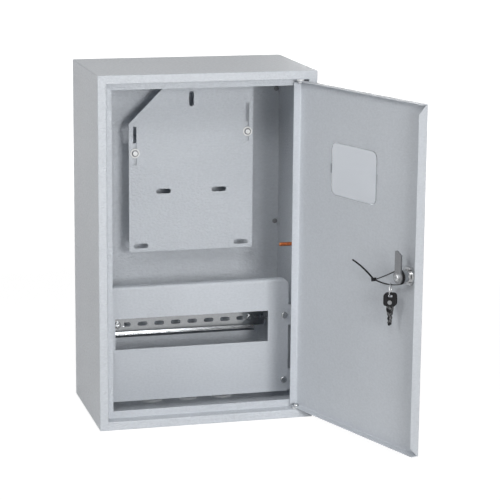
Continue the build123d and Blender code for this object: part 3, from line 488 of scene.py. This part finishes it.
def draw_out(stations, flat=False):
    """Extrude the chosen outline from station to station, each a distance along the upright axis and
    a half width. A flat piece keeps its thickness."""
    bpy.ops.object.mode_set(mode="EDIT")
    bpy.ops.mesh.select_all(action="SELECT")
    for (reach, half), (next_reach, next_half) in zip(stations, stations[1:]):
        step = (0, 0, next_reach - reach)
        bpy.ops.mesh.extrude_region_move(TRANSFORM_OT_translate={"value": step})
        ratio = next_half / half
        scale = (ratio, 1 if flat else ratio, 1)
        bpy.ops.transform.resize(value=scale, center_override=(0, 0, next_reach))
    bpy.ops.mesh.select_all(action="SELECT")
    bpy.ops.mesh.normals_make_consistent(inside=False)
    bpy.ops.object.mode_set(mode="OBJECT")


def turned(name, start, direction, stations):
    """A piece turned about a line: each station is a distance along it from the start and a radius."""
    clear_selection()
    reach, radius = stations[0]
    bpy.ops.mesh.primitive_circle_add(
        vertices=TURNED_SIDES, radius=radius, fill_type="NGON", location=(0, 0, reach))
    piece = named(name)
    draw_out(stations)
    bpy.ops.object.shade_smooth_by_angle(angle=TURNED_SMOOTH)
    piece.rotation_euler = direction.to_track_quat("Z", "Y").to_euler()
    piece.location = start
    settle()
    return piece


def middle(node):
    low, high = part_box(node)
    return (Vector(low) + Vector(high)) / 2


def earth_stud():
    """Threaded stud with a chamfered tip and a welding flange."""
    low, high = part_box("earth_stud")
    length = high[0] - low[0]
    neck = length - STUD_FLANGE - STUD_NECK
    tip_thread = THREAD_ROOT + TIP_THREAD*(THREAD_CREST - THREAD_ROOT)
    stations = [(0, TIP_RADIUS), (TIP_CHAMFER, tip_thread)]
    crest = TIP_CHAMFER + THREAD_PITCH / 2
    while crest + THREAD_PITCH < neck:
        stations += [(crest, THREAD_CREST), (crest + THREAD_PITCH / 2, THREAD_ROOT)]
        crest += THREAD_PITCH
    stations += [
        (neck, THREAD_CREST),
        (length - STUD_FLANGE, THREAD_CREST),
        (length - STUD_FLANGE, STUD_FLANGE_RADIUS),
        (length, STUD_FLANGE_RADIUS),
    ]
    tip = middle("earth_stud") - Vector((length / 2, 0, 0))
    stud = turned("earth_stud_thread", tip, Vector((1, 0, 0)), stations)
    dress(stud, FINISHES["copper_plate"])
    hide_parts("earth_stud")
    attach(stud, "cabinet")


def meter_screw_dress():
    """White cup around each of the meter plate's screws, and a white cap on its head."""
    low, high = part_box("meter_plate_washers")
    plate_face = high[1]
    places = {
        "left": (low[0] + WASHER_RADIUS, plate_face, low[2] + WASHER_RADIUS),
        "right": (high[0] - WASHER_RADIUS, plate_face, high[2] - WASHER_RADIUS),
    }
    for side, place in places.items():
        cup = turned(f"meter_cup_{side}", place, FORWARD, CUP)
        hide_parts("meter_plate_washers")
        cap = turned(f"meter_cap_{side}", place, FORWARD, CAP)
        for piece in (cup, cap):
            dress(piece, FINISHES["white_nylon"])
            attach(piece, "cabinet")


def back_rivets():
    """Blind rivets down both edges of the back panel."""
    panel_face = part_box("back_panel")[1][1] - BACK_SHEET
    for side, place in (("left", -RIVET_ASIDE), ("right", RIVET_ASIDE)):
        for number, height in enumerate(RIVET_HEIGHTS, 1):
            seat = (place, panel_face, height)
            rivet = turned(f"back_rivet_{side}_{number}", seat, FORWARD, RIVET)
            dress(rivet, SATIN_STEEL)
            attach(rivet, "cabinet")


def soften(piece, width):
    """Round a piece's sharp edges."""
    rounding = piece.modifiers.new("rounding", "BEVEL")
    rounding.width = width
    rounding.segments = KEY_EDGE_STEPS
    rounding.limit_method = "ANGLE"
    rounding.angle_limit = KEY_SHARP
    bpy.ops.object.modifier_apply(modifier=rounding.name)
    bpy.ops.object.shade_smooth_by_angle(angle=KEY_SMOOTH)


def block(name, width, depth, low, high):
    """A block round the upright axis, between two heights."""
    clear_selection()
    bpy.ops.mesh.primitive_cube_add(
        size=1, location=(0, 0, (low + high) / 2), scale=(width, depth, high - low))
    return named(name)


def select_only(piece, kind, chosen):
    """Select the edges or faces of a piece that a test picks, and stay in edit mode."""
    bpy.ops.object.mode_set(mode="EDIT")
    bpy.ops.mesh.select_mode(type=kind)
    bpy.ops.mesh.select_all(action="DESELECT")
    bpy.ops.object.mode_set(mode="OBJECT")
    for element in piece.data.edges if kind == "EDGE" else piece.data.polygons:
        element.select = chosen(element)
    bpy.ops.object.mode_set(mode="EDIT")


def key_bow(name):
    """Moulded bow with round corners, a raised border and the eye for the ring."""
    bow = block(name, BOW_WIDTH, BOW_THICKNESS, BOW_LOW, BOW_TOP)
    points = bow.data.vertices

    def through(edge):
        first, second = (points[index].co for index in edge.vertices)
        return abs(first.y - second.y) > BOW_THICKNESS / 2

    select_only(bow, "EDGE", through)
    bpy.ops.mesh.bevel(offset=BOW_CORNER, segments=BOW_CORNER_STEPS)
    bpy.ops.object.mode_set(mode="OBJECT")
    select_only(bow, "FACE", lambda face: abs(face.normal.y) > BOW_FACING)
    bpy.ops.mesh.inset(thickness=BOW_BORDER, depth=-BOW_HOLLOW, use_individual=True)
    bpy.ops.object.mode_set(mode="OBJECT")
    eye = block("eye", EYE_WIDTH, EYE_DEPTH, EYE_LOW, EYE_TOP)
    choose(bow)
    opening = bow.modifiers.new("opening", "BOOLEAN")
    opening.operation = "DIFFERENCE"
    opening.object = eye
    bpy.ops.object.modifier_apply(modifier=opening.name)
    bpy.data.objects.remove(eye)
    soften(bow, BOW_EDGE)
    return bow


def key_blade(name):
    """Flat blade with a neck, a shoulder and cuts on both edges."""
    clear_selection()
    reach, half = BLADE[0]
    bpy.ops.mesh.primitive_plane_add(size=1, location=(0, 0, reach))
    bpy.context.object.scale = (2 * half, BLADE_THICKNESS, 1)
    blade = named(name)
    draw_out(BLADE, flat=True)
    soften(blade, BLADE_EDGE)
    return blade


def keys():
    """Two keys that hang flat against each other on the ring, with a rosette on each outer face."""
    ring = middle("key_ring")
    outward = Vector((cos(KEYS_FACE), sin(KEYS_FACE), 0))
    for number, side in ((1, 1), (2, -1)):
        hang = ring + side * outward * KEYS_APART / 2
        parts = {
            "bow": (key_bow(f"key_{number}_bow_moulded"), "black_plastic"),
            "blade": (key_blade(f"key_{number}_blade_milled"), "key_steel"),
        }
        for part, (piece, slot) in parts.items():
            choose(piece)
            piece.rotation_euler = (0, side * KEY_SPLAY, KEYS_FACE - KEYS_FACE_MODELLED)
            piece.location = hang
            settle()
            dress(piece, FINISHES[slot])
            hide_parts(f"key_{number}_{part}")
            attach(piece, "door")
        seat = hang + side * outward * (BOW_THICKNESS / 2 - BOW_HOLLOW) + Vector((0, 0, ROSETTE_AT))
        rosette = turned(f"key_{number}_rosette", seat, side * outward, ROSETTE)
        dress(rosette, SATIN_STEEL)
        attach(rosette, "door")


earth_stud()
meter_screw_dress()
back_rivets()
keys()


def studio_floor():
    """Matt floor that glows white where it is seen, less so near the object to keep its shadow."""
    clear_selection()
    bpy.ops.mesh.primitive_plane_add(size=FLOOR_SIZE, location=(0, 0, 0))
    floor = bpy.context.object
    floor.name = "studio_floor"
    matt = {"Base Color": FLOOR_GREY, "Roughness": FLOOR_ROUGHNESS, "Specular IOR Level": 0}
    white = Finish("floor_white", matt)
    glow = white.node("ShaderNodeEmission", sockets={"Strength": FLOOR_GLOW})
    away = white.node("ShaderNodeVectorMath", {"operation": "LENGTH"}, {0: white.place}, out="Value")
    spread = {"From Min": FLOOR_NEAR, "From Max": FLOOR_FAR, "To Min": FLOOR_GLOW_SHARE, "To Max": 1}
    share = white.node("ShaderNodeMapRange", sockets={"Value": away, **spread})
    white.show("Material Output", white.seen() * share, white.surface, glow)
    dress(floor, white.material)


def studio_room():
    """Dim room that is white where it is seen."""
    world = bpy.data.worlds.new("studio_room")
    bpy.context.scene.world = world
    world.use_nodes = True
    room = Graph(world.node_tree)
    dim = room.given("Background", {"Color": WHITE, "Strength": ROOM_LIGHT})
    white = room.node("ShaderNodeBackground", sockets={"Color": WHITE, "Strength": ROOM_SEEN})
    room.show("World Output", room.seen(), dim, white)


def studio_lamp(name, turn, rise, distance, width, power):
    lamp = bpy.data.lights.new(name, "AREA")
    lamp.size = width
    lamp.energy = power
    stand = bpy.data.objects.new(name, lamp)
    bpy.context.collection.objects.link(stand)
    outward = Vector((sin(turn) * cos(rise), -cos(turn) * cos(rise), sin(rise)))
    stand.location = Vector(AIM) + distance * outward
    stand.rotation_euler = outward.to_track_quat("Z", "Y").to_euler()


def studio_camera():
    data = bpy.data.cameras.new("camera")
    data.lens = CAMERA_LENS
    data.sensor_width = CAMERA_FILM
    data.clip_end = CAMERA_FAR
    camera = bpy.data.objects.new("camera", data)
    bpy.context.collection.objects.link(camera)
    turn = Matrix.Rotation(CAMERA_TURN, 4, "Z")
    tilt = Matrix.Rotation(CAMERA_TILT, 4, "X")
    roll = Matrix.Rotation(CAMERA_ROLL, 4, "Y")
    level = Matrix.Rotation(radians(90), 4, "X")
    camera.matrix_world = Matrix.Translation(CAMERA_PLACE) @ turn @ tilt @ roll @ level
    bpy.context.scene.camera = camera


studio_floor()
studio_room()
for name, lamp in LAMPS.items():
    studio_lamp(name, *lamp)
studio_camera()
bpy.context.scene.view_settings.view_transform = "Standard"
